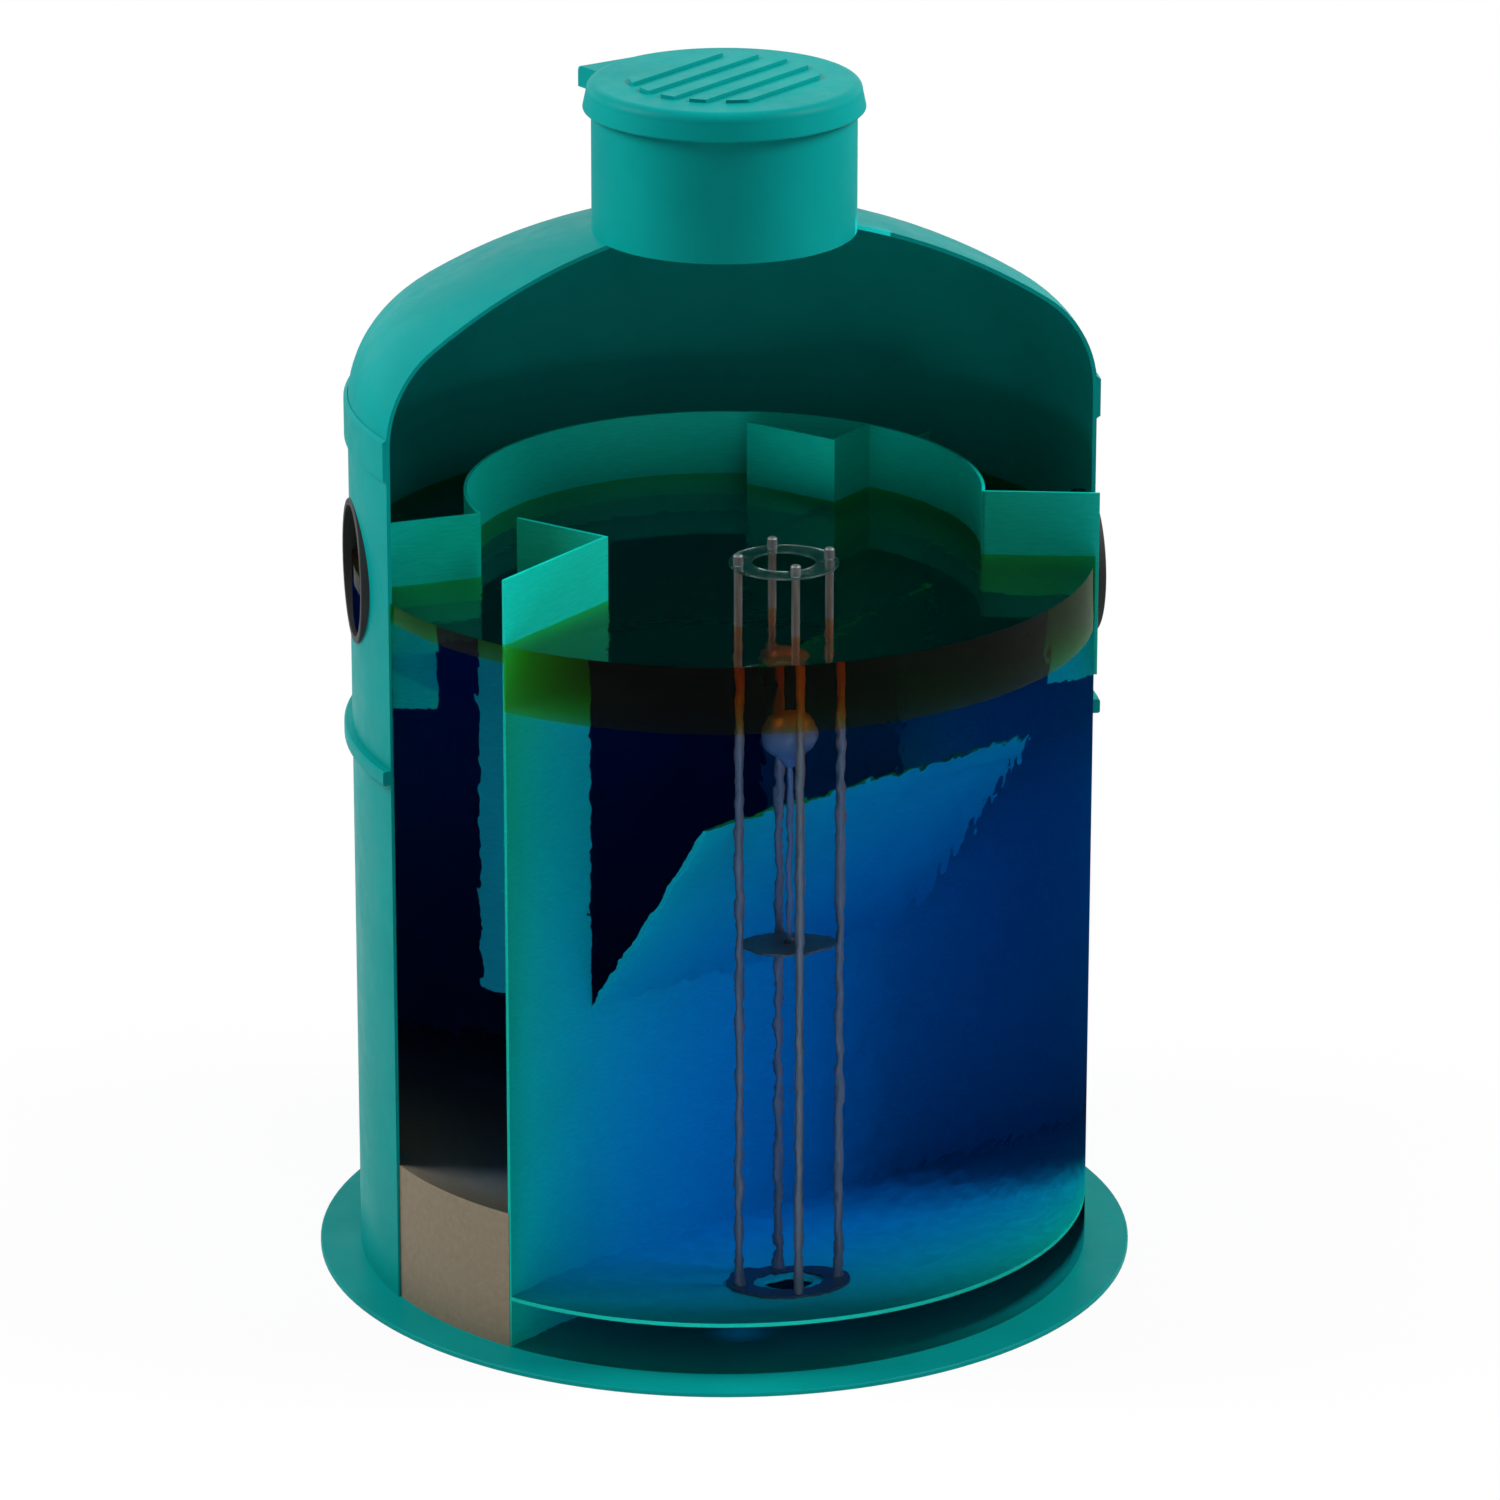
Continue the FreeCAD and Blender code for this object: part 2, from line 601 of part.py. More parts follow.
def make_partitions():
    """The two tall radial panels with the weir between them, and the cheeks over the weir's ends.

    The back panel passes under the ring wall and is lower where it crosses the channel.
    """
    turn = "dims.partition_turn"
    node("front_partition", radial_plate("front_partition", FRONT_CORNER, "dims.base_thick",
                                         WALL_TOP, f"{turn} + 180"))
    panel = radial_plate("back_panel", BACK_CORNER, "dims.base_thick", WALL_TOP, turn)
    crossing = round_wall("channel_crossing", "dims.tank_radius", RING_OUT,
                          f"{WALL_TOP} - dims.back_panel_step", f"{WALL_TOP} + dims.plate_thick",
                          f"{turn} - 10", "20")
    node("back_partition", cut("back_partition", panel, nodes["outlet_channel_wall"],
                               nodes["inlet_channel_wall"], crossing))
    weir = box_outline(f"-{FRONT_CORNER}", f"-{HALF_PLATE}", BACK_CORNER, HALF_PLATE)
    node("weir_wall", raised_body("weir_wall", weir, "dims.base_thick", WEIR_TOP, turn))
    for side, near, far in (("front", f"-{FRONT_CORNER}", SPAN_FROM), ("back", SPAN_TO, BACK_CORNER)):
        plan = box_outline(near, f"-{HALF_PLATE}", far, "dims.cheek_reach")
        node(f"{side}_cheek_plate", raised_body(f"{side}_cheek_plate", plan, WEIR_TOP, WALL_TOP, turn))


def slope_outline(front, back, share):
    """A layer of the slope between two depths, from the slope's top down a share of its length."""
    top = "-dims.incline_reach"
    low = f"({INCLINE_TOP} - dims.incline_rise * {share})"
    run = f"dims.incline_reach * (1 - {share})"
    return [(f"{top} - {front}", INCLINE_TOP), (f"-{run} - {front}", low), (f"-{run} - {back}", low),
            (f"{top} - {back}", INCLINE_TOP)]


def make_incline():
    """The plate that slopes up from the weir, and the band laminated along its top and one end."""
    band_face = f"({HALF_PLATE} + dims.edge_band_thick)"
    share = "(dims.edge_band_wide / sqrt(dims.incline_reach^2 + dims.incline_rise^2))"
    span = f"{SPAN_TO} - {SPAN_FROM}"
    plate = document.addObject("PartDesign::Body", "inclined_plate")
    outline = drawing(plate, "slope", "YZ_Plane", slope_outline(HALF_PLATE, f"-{HALF_PLATE}", "1"))
    feature(plate, "Pad", "slope_raised", outline, Length=span)
    band = document.addObject("PartDesign::Body", "incline_edge_band")
    end = drawing(band, "end_edge", "YZ_Plane", slope_outline(band_face, HALF_PLATE, "1"))
    feature(band, "Pad", "end_edge_band", end, Length="dims.edge_band_wide")
    top = drawing(band, "top_edge", "YZ_Plane", slope_outline(band_face, HALF_PLATE, share))
    feature(band, "Pad", "top_edge_band", top, Length=span)
    for body in (plate, band):
        node(body.Name, place(body, x=f"{SPAN_FROM} * cos(dims.partition_turn)",
                              y=f"{SPAN_FROM} * sin(dims.partition_turn)",
                              turn="dims.partition_turn"))


def make_floor():
    """The half-round floor of the separation side, bored under the float valve."""
    reach = f"sqrt({SHELL_IN}^2 - {HALF_PLATE}^2)"
    bearing = "(dims.valve_turn - dims.partition_turn)"
    plan = [
        (f"-{reach}", f"-{HALF_PLATE}"),
        ("left", "0", "0", reach, f"-{HALF_PLATE}"),
    ]
    port = (f"{VALVE_REACH} * cos({bearing})", f"{VALVE_REACH} * sin({bearing})", "dims.floor_port")
    node("chamber_floor", raised_body("chamber_floor", plan, FLOOR_FOOT, FLOOR_TOP,
                                      "dims.partition_turn", circles=[port]))


def on_valve_line(label, outline):
    """A turned piece of the float valve, on the valve's own upright line."""
    return node(label, place(turned_body(label, outline), x=VALVE_X, y=VALVE_Y))


def make_valve():
    on_valve_line("valve_seat_ring", box_outline("dims.valve_bore", FLOOR_TOP, "dims.seat_radius",
                                                 SEAT_TOP))
    for index in range(ROD_COUNT):
        turn = f"(dims.rod_turn + {index} * 360 / {ROD_COUNT})"
        rod = turned_body(f"guide_rod_{index + 1}", [
            ("0", SEAT_TOP),
            ("dims.rod_radius", SEAT_TOP),
            ("dims.rod_radius", GUIDE_TOP),
            ("dims.cap_radius", GUIDE_TOP),
            ("dims.cap_radius", f"{CAP_TOP} - dims.cap_edge"),
            ("dims.cap_radius - dims.cap_edge", CAP_TOP),
            ("0", CAP_TOP),
        ])
        node(f"guide_rod_{index + 1}", place(rod, x=f"{VALVE_X} + dims.rod_circle * cos({turn})",
                                             y=f"{VALVE_Y} + dims.rod_circle * sin({turn})"))

    ring = document.addObject("PartDesign::Body", "top_guide_ring")
    plate = drawing(ring, "ring_plan", "XY_Plane", lift=GUIDE_FOOT, circles=[
        ("0", "0", "dims.guide_radius"),
        ("0", "0", "dims.valve_bore"),
    ])
    feature(ring, "Pad", "ring_plate", plate, Length="dims.guide_thick")
    hole = drawing(ring, "rod_hole_plan", "XY_Plane", lift=GUIDE_TOP,
                   circles=[("dims.rod_circle", "0", "dims.rod_radius + dims.rod_play")])
    pocket = feature(ring, "Pocket", "rod_hole", hole, Length="dims.guide_thick")
    pattern = ring.newObject("PartDesign::PolarPattern", "rod_holes")
    pattern.Originals = [pocket]
    pattern.Axis = (hole, ["N_Axis"])
    pattern.Occurrences = ROD_COUNT
    ring.Tip = pattern
    node("top_guide_ring", place(ring, x=VALVE_X, y=VALVE_Y, turn="dims.rod_turn"))

    on_valve_line("valve_disc", [
        ("0", DISC_FOOT),
        (DISC_REACH, DISC_FOOT),
        (DISC_REACH, DISC_TOP),
        ("dims.boss_radius", DISC_TOP),
        ("dims.boss_radius", f"{BOSS_TOP} - dims.boss_edge"),
        ("dims.boss_radius - dims.boss_edge", BOSS_TOP),
        ("0", BOSS_TOP),
    ])
    on_valve_line("float_with_stem", [
        ("0", BOSS_TOP),
        ("dims.stem_radius", BOSS_TOP),
        ("dims.stem_radius", FUNNEL_FOOT),
        ("dims.funnel_foot", FUNNEL_FOOT),
        ("dims.funnel_wide", FUNNEL_TOP),
        ("left", "0", FLOAT_LEVEL, "0", f"{FLOAT_LEVEL} + dims.float_radius"),
    ])


make_base()
make_shell()
make_rings()
make_dome()
make_neck()
make_cover()
make_hinge()
make_seals()
make_channel()
make_partitions()
make_incline()
make_floor()
make_valve()
document.recompute()

for item in document.Objects:
    if "Invalid" in item.State or "Error" in item.State:
        raise RuntimeError(f"{item.Name} did not compute: {item.State}")

os.makedirs("parts", exist_ok=True)
for label, item in nodes.items():
    shape = item.Shape
    if shape.isNull() or not shape.isValid() or len(shape.Solids) != 1:
        raise RuntimeError(f"{label} is not one valid solid")
    box = shape.BoundBox
    print(f"{label:20s} {shape.Volume / 1e6:8.3f} l  x {box.XMin:7.1f} {box.XMax:7.1f}"
          f"  y {box.YMin:7.1f} {box.YMax:7.1f}  z {box.ZMin:7.1f} {box.ZMax:7.1f}")
    shape.exportStep(f"parts/{label}.step")
print(f"{len(nodes)} parts, {sum(item.Shape.Volume for item in nodes.values()) / 1e6:.1f} litres")
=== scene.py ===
# %% [markdown]
# # An oil separator, cut open
#
# The object is a round glass-fibre tank, 1.8 m across, that parts oil from water by letting the
# oil float up. It is a sectional model: a sector of the wall and of the domed top is cut away, so
# the partitions, the float valve and the contents show. The solids come as a fixed frame. This
# lesson dresses them in finishes, and adds what a solid model leaves out: the water, the oil
# layer on it and the settled sludge.

# %% Load the frame
import json
import math

import bpy
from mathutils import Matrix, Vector


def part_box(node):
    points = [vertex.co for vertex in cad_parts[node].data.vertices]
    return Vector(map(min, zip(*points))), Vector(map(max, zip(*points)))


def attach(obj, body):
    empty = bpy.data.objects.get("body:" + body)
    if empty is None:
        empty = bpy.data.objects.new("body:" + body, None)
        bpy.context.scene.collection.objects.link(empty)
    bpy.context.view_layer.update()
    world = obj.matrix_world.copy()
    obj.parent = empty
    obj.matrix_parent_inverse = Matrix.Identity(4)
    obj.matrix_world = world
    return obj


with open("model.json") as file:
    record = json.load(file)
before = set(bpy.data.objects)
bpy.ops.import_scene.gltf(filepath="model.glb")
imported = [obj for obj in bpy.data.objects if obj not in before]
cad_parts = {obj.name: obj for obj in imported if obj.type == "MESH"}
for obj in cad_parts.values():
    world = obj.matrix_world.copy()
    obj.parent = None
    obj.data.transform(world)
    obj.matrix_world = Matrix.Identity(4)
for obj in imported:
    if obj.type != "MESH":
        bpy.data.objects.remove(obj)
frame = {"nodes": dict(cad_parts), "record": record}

scene = bpy.context.scene
nodes = frame["nodes"]
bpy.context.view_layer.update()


# %% [markdown]
# ## Sizes taken from the frame
#
# How deep the layers are is the tank's state and not its shape, so the depths are given here,
# in metres.

# %% Walls
SHELL_WALL = 0.010
base_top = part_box("base_disc")[1].z
wall_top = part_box("front_partition")[1].z
tank_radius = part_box("upper_shell_right")[1].x
inner_radius = tank_radius - SHELL_WALL
in_the_wall = inner_radius + SHELL_WALL / 2
print("inner radius", round(inner_radius, 3), "partitions up to", round(wall_top, 3))

# %% Depths of the contents
FREEBOARD = 0.158  # from the partitions' top edge down to the oil
THICK_OIL = 0.163  # what has gathered in the oil chamber
THIN_OIL = 0.045  # what is still on its way there, in the first chamber
SLUDGE_DEPTH = 0.344
oil_top = wall_top - FREEBOARD
oil_foot = oil_top - THICK_OIL
thin_foot = oil_top - THIN_OIL
sludge_top = base_top + SLUDGE_DEPTH
print("oil from", round(oil_foot, 3), "to", round(oil_top, 3), "sludge to", round(sludge_top, 3))

# %% [markdown]
# ## Colours
#
# Colours are written as the hex values that a picture editor shows, which are sRGB. Shader
# sockets want linear light, so one small function converts them.


# %% One colour function
def colour(hex_code):
    """sRGB hex to linear RGBA."""
    channels = [int(hex_code[start:start + 2], 16) / 255 for start in (0, 2, 4)]
    linear = [c / 12.92 if c <= 0.04045 else ((c + 0.055) / 1.055) ** 2.4 for c in channels]
    return (*linear, 1.0)


WHITE = colour("FFFFFF")
print("middle grey 808080 in linear light:", round(colour("808080")[0], 3))

# %% [markdown]
# ## Building finishes
#
# A finish is a small graph of nodes, and a few helpers keep the graphs short. `fill` sets a
# node's sockets by name, and `wire` feeds them from other nodes. `new_finish` starts a material
# and sets what is the same all over it on the shader's own sockets. `add` puts in a node with its
# settings and its links in one line. `grain` turns the real size of a pattern into a noise scale,
# because a noise with scale 1 has one patch to the metre here.


# %% Helpers for sockets
def fill(node, values):
    """Sets a node's sockets: an underscore stands for a space in the socket's name."""
    for key, value in values.items():
        node.inputs[key.replace("_", " ")].default_value = value


def wire(tree, node, links):
    """Feeds a node's sockets from other nodes' outputs."""
    for key, source in links.items():
        tree.links.new(source, node.inputs[key])


# %% Helpers for finishes
def new_finish(name, **same_all_over):
    """A material with its node tree and its Principled shader."""
    material = bpy.data.materials.new(name)
    material.use_nodes = True
    shader = material.node_tree.nodes["Principled BSDF"]
    fill(shader, same_all_over)
    return material, material.node_tree, shader


def grain(millimetres):
    """The noise scale whose patches are about so many millimetres across."""
    return 1000 / millimetres


def add(tree, kind, links=(), settings=(), stops=(), **values):
    """Adds a node with its own properties, its colour ramp's stops, its sockets and its links."""
    node = tree.nodes.new(kind)
    for key, value in dict(settings).items():
        setattr(node, key, value)
    for index, (place, hex_code) in enumerate(stops):
        node.color_ramp.elements[index].position = place
        node.color_ramp.elements[index].color = colour(hex_code)
    fill(node, values)
    wire(tree, node, dict(links))
    return node


print("a grain of 2 mm is noise scale", grain(2))

# %% [markdown]
# ## Gelcoat
#
# The outside of a glass-fibre tank is gelcoat: pigmented resin sprayed into a polished mould. It
# is smooth, but the fibre under it telegraphs through as a faint waviness, and handling leaves
# dull patches. A plain colour with one roughness would look like enamelled steel. So the colour
# and the roughness drift with a slow noise, and two bumps are stacked: one of the hand-sized
# waves and one of the fine orange peel.


# %% The gelcoat finish
def gelcoat(name, deep, pale, rough, shine, wave_depth):
    material, tree, shader = new_finish(name, Specular_IOR_Level=shine)
    where = add(tree, "ShaderNodeTexCoord").outputs["Object"]

    # The spray gun lays the colour in passes a third of a metre wide.
    passes = add(tree, "ShaderNodeTexNoise", {"Vector": where}, Scale=grain(330),
                 Detail=5.0).outputs["Fac"]
    tint = add(tree, "ShaderNodeValToRGB", {"Fac": passes},
               stops=((0.3, deep), (0.7, pale))).outputs["Color"]

    # Hands and slings leave dull patches as wide as a palm.
    scuffs = add(tree, "ShaderNodeTexNoise", {"Vector": where}, Scale=grain(70), Detail=8.0,
                 Roughness=0.65).outputs["Fac"]
    dull = add(tree, "ShaderNodeMapRange", {"Value": scuffs}, From_Min=0.35, From_Max=0.75,
               To_Min=rough[0], To_Max=rough[1]).outputs["Result"]

    # The mats under it pull it in as they cure, in waves a hand and a half wide. Orange peel has
    # dimples of 2 to 3 mm.
    waves = add(tree, "ShaderNodeTexNoise", {"Vector": where}, Scale=grain(140),
                Detail=2.0).outputs["Fac"]
    peel = add(tree, "ShaderNodeTexNoise", {"Vector": where}, Scale=grain(2.4),
               Detail=2.0).outputs["Fac"]
    swell = add(tree, "ShaderNodeBump", {"Height": waves}, Strength=0.5,
                Distance=wave_depth).outputs["Normal"]
    fine = add(tree, "ShaderNodeBump", {"Height": peel, "Normal": swell}, Strength=0.25,
               Distance=0.0004).outputs["Normal"]
    wire(tree, shader, {"Base Color": tint, "Roughness": dull, "Normal": fine})
    return material


# An even colour with a soft, broad sheen. The specular level is low, since a tank that has stood
# outside hardly glares.
outer_gelcoat = gelcoat("teal_gelcoat", deep="028784", pale="05928E", rough=(0.34, 0.50),
                        shine=0.03, wave_depth=0.0008)
print("finish:", outer_gelcoat.name)

# %% [markdown]
# ## Laminate inside
#
# The partitions are laid up by hand: mats of glass roving soaked in the same resin. Their faces
# keep the print of the mat, short fibres lying every way. A stretched noise gives one direction
# of fibre, and two of them, crossed and multiplied, give the mat.

# %% The mat's sizes
STRAND_LENGTH = 38  # mm: chopped strands are 30 to 50 mm long
STRAND_SHAPE = 9.0  # drawn 4 mm wide, because the real millimetre is too fine to show
MAT_TURNS = (0.6, -0.9)  # how two layers of the mat lie across each other, in radians
print("strands drawn", STRAND_LENGTH, "mm by", round(STRAND_LENGTH / STRAND_SHAPE, 1), "mm")


# %% The laminate finish
def laminate(name, deep, pale):
    material, tree, shader = new_finish(name, Specular_IOR_Level=0.1)
    where = add(tree, "ShaderNodeTexCoord").outputs["Object"]
    mats = []
    for turn in MAT_TURNS:
        laid = add(tree, "ShaderNodeMapping", {"Vector": where}, Rotation=(turn, turn, turn),
                   Scale=(1.0, 1.0, STRAND_SHAPE)).outputs["Vector"]
        mats.append(add(tree, "ShaderNodeTexNoise", {"Vector": laid}, Scale=grain(STRAND_LENGTH),
                        Detail=6.0, Roughness=0.6).outputs["Fac"])
    fibres = add(tree, "ShaderNodeMath", {0: mats[0], 1: mats[1]},
                 {"operation": "MULTIPLY"}).outputs[0]
    tint = add(tree, "ShaderNodeValToRGB", {"Fac": fibres},
               stops=((0.15, deep), (0.4, pale))).outputs["Color"]
    dull = add(tree, "ShaderNodeMapRange", {"Value": fibres}, From_Min=0.1, From_Max=0.5,
               To_Min=0.38, To_Max=0.62).outputs["Result"]
    relief = add(tree, "ShaderNodeBump", {"Height": fibres}, Strength=0.35,
                 Distance=0.0012).outputs["Normal"]
    wire(tree, shader, {"Base Color": tint, "Roughness": dull, "Normal": relief})
    return material


# Brighter than the gelcoat, as resin is that no sun has reached. It is satin, and the fibres
# break up its sheen.
inner_laminate = laminate("teal_laminate", deep="02B4A4", pale="04C4B3")
print("finish:", inner_laminate.name)

# %% [markdown]
# ## Plain materials in two tones
#
# Rubber, pipe plastic, polythene and mud have no drawing of their own, only two close tones in
# patches, and the same patches stand a little proud. One noise does both, through a colour ramp
# and a bump. So one function makes these finishes, and each brings its patch size and its depth.


# %% The two-tone finish
def two_tone(name, tones, patch, detail, relief, depth, stops=(0.0, 1.0), crumble=0.5,
             **same_all_over):
    """Patches of so many millimetres, in two tones that meet between the stops. They stand proud by
    the depth in metres, and relief is how much of that the light shows."""
    material, tree, shader = new_finish(name, **same_all_over)
    where = add(tree, "ShaderNodeTexCoord").outputs["Object"]
    patches = add(tree, "ShaderNodeTexNoise", {"Vector": where}, Scale=grain(patch), Detail=detail,
                  Roughness=crumble).outputs["Fac"]
    tint = add(tree, "ShaderNodeValToRGB", {"Fac": patches},
               stops=zip(stops, tones)).outputs["Color"]
    raised = add(tree, "ShaderNodeBump", {"Height": patches}, Strength=relief,
                 Distance=depth).outputs["Normal"]
    wire(tree, shader, {"Base Color": tint, "Normal": raised})
    return material


# %% [markdown]
# ## Seals, valve and float
#
# The pipe seals are moulded from black rubber, and their lips are in the solids. The valve's disc
# and its seat are turned from dark pipe plastic. The float is a moulded ball that spends its life
# where oil and water meet, so its colour is stained in patches.

# %% Seals
# Rubber filled with soot is nearly black and dull, with a grey bloom in spots of about 5 mm, where
# wax works out.
seal_rubber = two_tone("black_rubber", ("121415", "222627"), patch=5.5, detail=4.0, relief=0.3,
                       depth=0.0006, Roughness=0.52, Specular_IOR_Level=0.3)
print("finish:", seal_rubber.name)

# %% Valve plastic
# Turned hard PVC is a dark satin, with blotches of a centimetre from the lathe and settled dirt.
dark_pvc = two_tone("dark_pvc", ("1B2A2C", "2C3E40"), patch=11, detail=5.0, relief=0.2,
                    depth=0.0004, Roughness=0.4)
print("finish:", dark_pvc.name)

# %% Float
# Moulded polythene is waxy and a little shinier, with stains about half as wide as the ball.
float_plastic = two_tone("moulded_polythene", ("33485E", "4A647C"), patch=55, detail=7.0,
                         relief=0.15, depth=0.0008, Roughness=0.33)
print("finish:", float_plastic.name)

# %% [markdown]
# ## Steel and clear plastic
#
# The guide rods are drawn stainless steel, and the guide ring is sheet acrylic. Each needs the
# one feature that the eye looks for: streaks along the rod, and a clear sheet whose edge gathers
# light.

# %% Rods
SCRATCH_SHAPE = 0.02  # a scratch from the die is fifty times as long as it is wide
# Water and oil leave a film on the steel, so it is only half metallic: grey, with a soft
# highlight along the rod.
rod_steel, tree, shader = new_finish("drawn_steel", Metallic=0.5, Roughness=0.45)
where = add(tree, "ShaderNodeTexCoord").outputs["Object"]
drawn = add(tree, "ShaderNodeMapping", {"Vector": where},
            Scale=(1.0, 1.0, SCRATCH_SHAPE)).outputs["Vector"]
# The scratches are finer than a tenth of a millimetre; they are drawn at 1.7 mm so they show.
streaks = add(tree, "ShaderNodeTexNoise", {"Vector": drawn}, Scale=grain(1.7),
              Detail=4.0).outputs["Fac"]
shade = add(tree, "ShaderNodeValToRGB", {"Fac": streaks},
            stops=((0.0, "4C5153"), (1.0, "6C7173"))).outputs["Color"]
relief = add(tree, "ShaderNodeBump", {"Height": streaks}, Strength=0.12,
             Distance=0.0003).outputs["Normal"]
wire(tree, shader, {"Base Color": shade, "Normal": relief})
print("finish:", rod_steel.name)

# %% Sheet acrylic
# Cast sheet is clear with a little green, and shows mostly by its rim and by what it bends.
clear_sheet, tree, shader = new_finish("tinted_acrylic", Base_Color=colour("A9CBC8"),
                                       Transmission_Weight=1.0, IOR=1.45)
where = add(tree, "ShaderNodeTexCoord").outputs["Object"]
# A film of oil dulls it in patches three fingers wide.
film = add(tree, "ShaderNodeTexNoise", {"Vector": where}, Scale=grain(33),
           Detail=6.0).outputs["Fac"]
haze = add(tree, "ShaderNodeMapRange", {"Value": film}, From_Min=0.3, From_Max=0.7,
           To_Min=0.08, To_Max=0.3).outputs["Result"]
wire(tree, shader, {"Roughness": haze})
print("finish:", clear_sheet.name)

# %% [markdown]
# ## Dress the solids
#
# The frame's record says which slot each solid belongs to. One dictionary turns the slot into a
# finish, so a renamed solid still gets its dress. The valve's disc and seat share the clear
# sheet's slot there, and a second dictionary gives those two their own plastic.

# %% Slots to finishes
SLOT_FINISHES = {
    "outer_laminate": outer_gelcoat,
    "inner_laminate": inner_laminate,
    "seal_rubber": seal_rubber,
    "rod_steel": rod_steel,
    "valve_plastic": clear_sheet,
    "float_plastic": float_plastic,
}
OWN_FINISHES = {"valve_seat_ring": dark_pvc, "valve_disc": dark_pvc}
for piece in frame["record"]["subparts"]:
    finish = OWN_FINISHES.get(piece["node"], SLOT_FINISHES[piece["material_slot"]])
    mesh = nodes[piece["node"]].data
    mesh.materials.clear()
    mesh.materials.append(finish)

# %% [markdown]
# ## Liquids
#
# Water and oil are clear bodies that colour the light on its way through: the longer the way, the
# deeper the colour. That is absorption, and it belongs in the volume, not on the surface. Water
# takes the red first and then some of the green. Oil takes the blue at once and the green more
# slowly, so the teal wall behind a thin layer looks green, and a thick layer goes brown and then
# black.


# %% Colours in the volume
def coloured_volume(name, hex_code, density):
    """A body without a surface of its own that soaks up light, the more the longer its way."""
    material, tree, shader = new_finish(name)
    clear = add(tree, "ShaderNodeBsdfTransparent").outputs[0]
    soak = add(tree, "ShaderNodeVolumeAbsorption", Color=colour(hex_code),
               Density=density).outputs[0]
    wire(tree, tree.nodes["Material Output"], {"Surface": clear, "Volume": soak})
    tree.nodes.remove(shader)
    return material


# Clean water: colourless in a glass, deep blue through half a metre.
water = coloured_volume("clean_water", "59B6FF", 1.5)
# Mineral oil: yellow at a thin edge, nearly black where it is thick.
oil = coloured_volume("mineral_oil", "F8D600", 15.0)
print("liquids:", water.name, oil.name)

# %% [markdown]
# ## The skin round the liquids
#
# Bending belongs to the surface. Water and oil bend light almost alike, so one skin round both
# does it, and no false mirror appears where they touch. Where the oil reaches the skin it also
# mirrors, more when seen edge on. Bent light can't be aimed at a lamp, so the Light Path node
# swaps the skin for a transparent one on shadow rays and on diffuse rays. Its three parts are
# three functions: where the oil is, what is seen through the skin, and what light gets through.


# %% Where the oil is
def oil_behind(tree, where, thick_from, thin_from):
    """1 where the skin has oil behind it and 0 where it has water."""
    place = add(tree, "ShaderNodeSeparateXYZ", {"Vector": where["Object"]}).outputs
    # The partitions stand where Y equals X, and the first chamber is on the side of the larger Y.
    first_chamber = add(tree, "ShaderNodeMath", {0: place["Y"], 1: place["X"]},
                        {"operation": "GREATER_THAN"}).outputs[0]
    oil_from = add(tree, "ShaderNodeMapRange", {"Value": first_chamber}, To_Min=thick_from,
                   To_Max=thin_from).outputs["Result"]
    return add(tree, "ShaderNodeMath", {0: place["Z"], 1: oil_from},
               {"operation": "GREATER_THAN"}).outputs[0]


# %% What is seen through the skin
def seen_through(tree, where, ior, tint, oily, front_mirror, top_mirror):
    """Bent light, and over the oil a mirror that is weaker on the upright faces than on the top."""
    # Slow swirls of warmer and cooler water are about 5 cm wide and make the rods look wavy.
    ripples = add(tree, "ShaderNodeTexNoise", {"Vector": where["Object"]}, Scale=grain(50),
                  Detail=1.5).outputs["Fac"]
    relief = add(tree, "ShaderNodeBump", {"Height": ripples}, Strength=0.6,
                 Distance=0.0045).outputs["Normal"]
    bent = add(tree, "ShaderNodeBsdfRefraction", {"Normal": relief, "Color": tint},
               Roughness=0.0, IOR=ior).outputs[0]
    upward = add(tree, "ShaderNodeSeparateXYZ", {"Vector": where["Normal"]}).outputs["Z"]
    share = add(tree, "ShaderNodeMapRange", {"Value": upward}, To_Min=front_mirror,
                To_Max=top_mirror).outputs["Result"]
    edge_on = add(tree, "ShaderNodeFresnel", IOR=ior).outputs[0]
    amount = add(tree, "ShaderNodeMath", {0: edge_on, 1: share},
                 {"operation": "MULTIPLY"}).outputs[0]
    amount = add(tree, "ShaderNodeMath", {0: amount, 1: oily},
                 {"operation": "MULTIPLY"}).outputs[0]
    shine = add(tree, "ShaderNodeBsdfGlossy", Color=WHITE, Roughness=0.03).outputs[0]
    return add(tree, "ShaderNodeMixShader", {0: amount, 1: bent, 2: shine}).outputs[0]


# %% What light gets through the skin
HEAD_ON, ASLANT = 0.25, 0.67  # 1 minus the cosine of the light's angle to the skin's normal
GATHERED = 1.6  # the round face gathers like a lens the light that meets it head on
STRAY = 0.85  # the share for light that comes back from the walls
for limit, what in ((HEAD_ON, "all the light gets in up to"), (ASLANT, "none from")):
    print(what, round(math.degrees(math.acos(1 - limit))), "degrees")


def light_through(tree, path, tint):
    """A clear shader that lets in the more, the more squarely the light meets the skin."""
    aslant = add(tree, "ShaderNodeLayerWeight", Blend=0.5).outputs["Facing"]
    let_in = add(tree, "ShaderNodeMapRange", {"Value": aslant}, From_Min=HEAD_ON, From_Max=ASLANT,
                 To_Min=GATHERED, To_Max=0.0).outputs["Result"]
    stray = add(tree, "ShaderNodeMapRange", {"Value": path["Is Diffuse Ray"]}, To_Min=1.0,
                To_Max=STRAY).outputs["Result"]
    let_in = add(tree, "ShaderNodeMath", {0: let_in, 1: stray},
                 {"operation": "MULTIPLY"}).outputs[0]
    light = add(tree, "ShaderNodeVectorMath", {"Vector": tint, "Scale": let_in},
                {"operation": "SCALE"}).outputs[0]
    return add(tree, "ShaderNodeBsdfTransparent", {"Color": light}).outputs[0]


# %% Skin of the liquids
MIX_A, MIX_B = 6, 7  # the two colour sockets of a Mix node


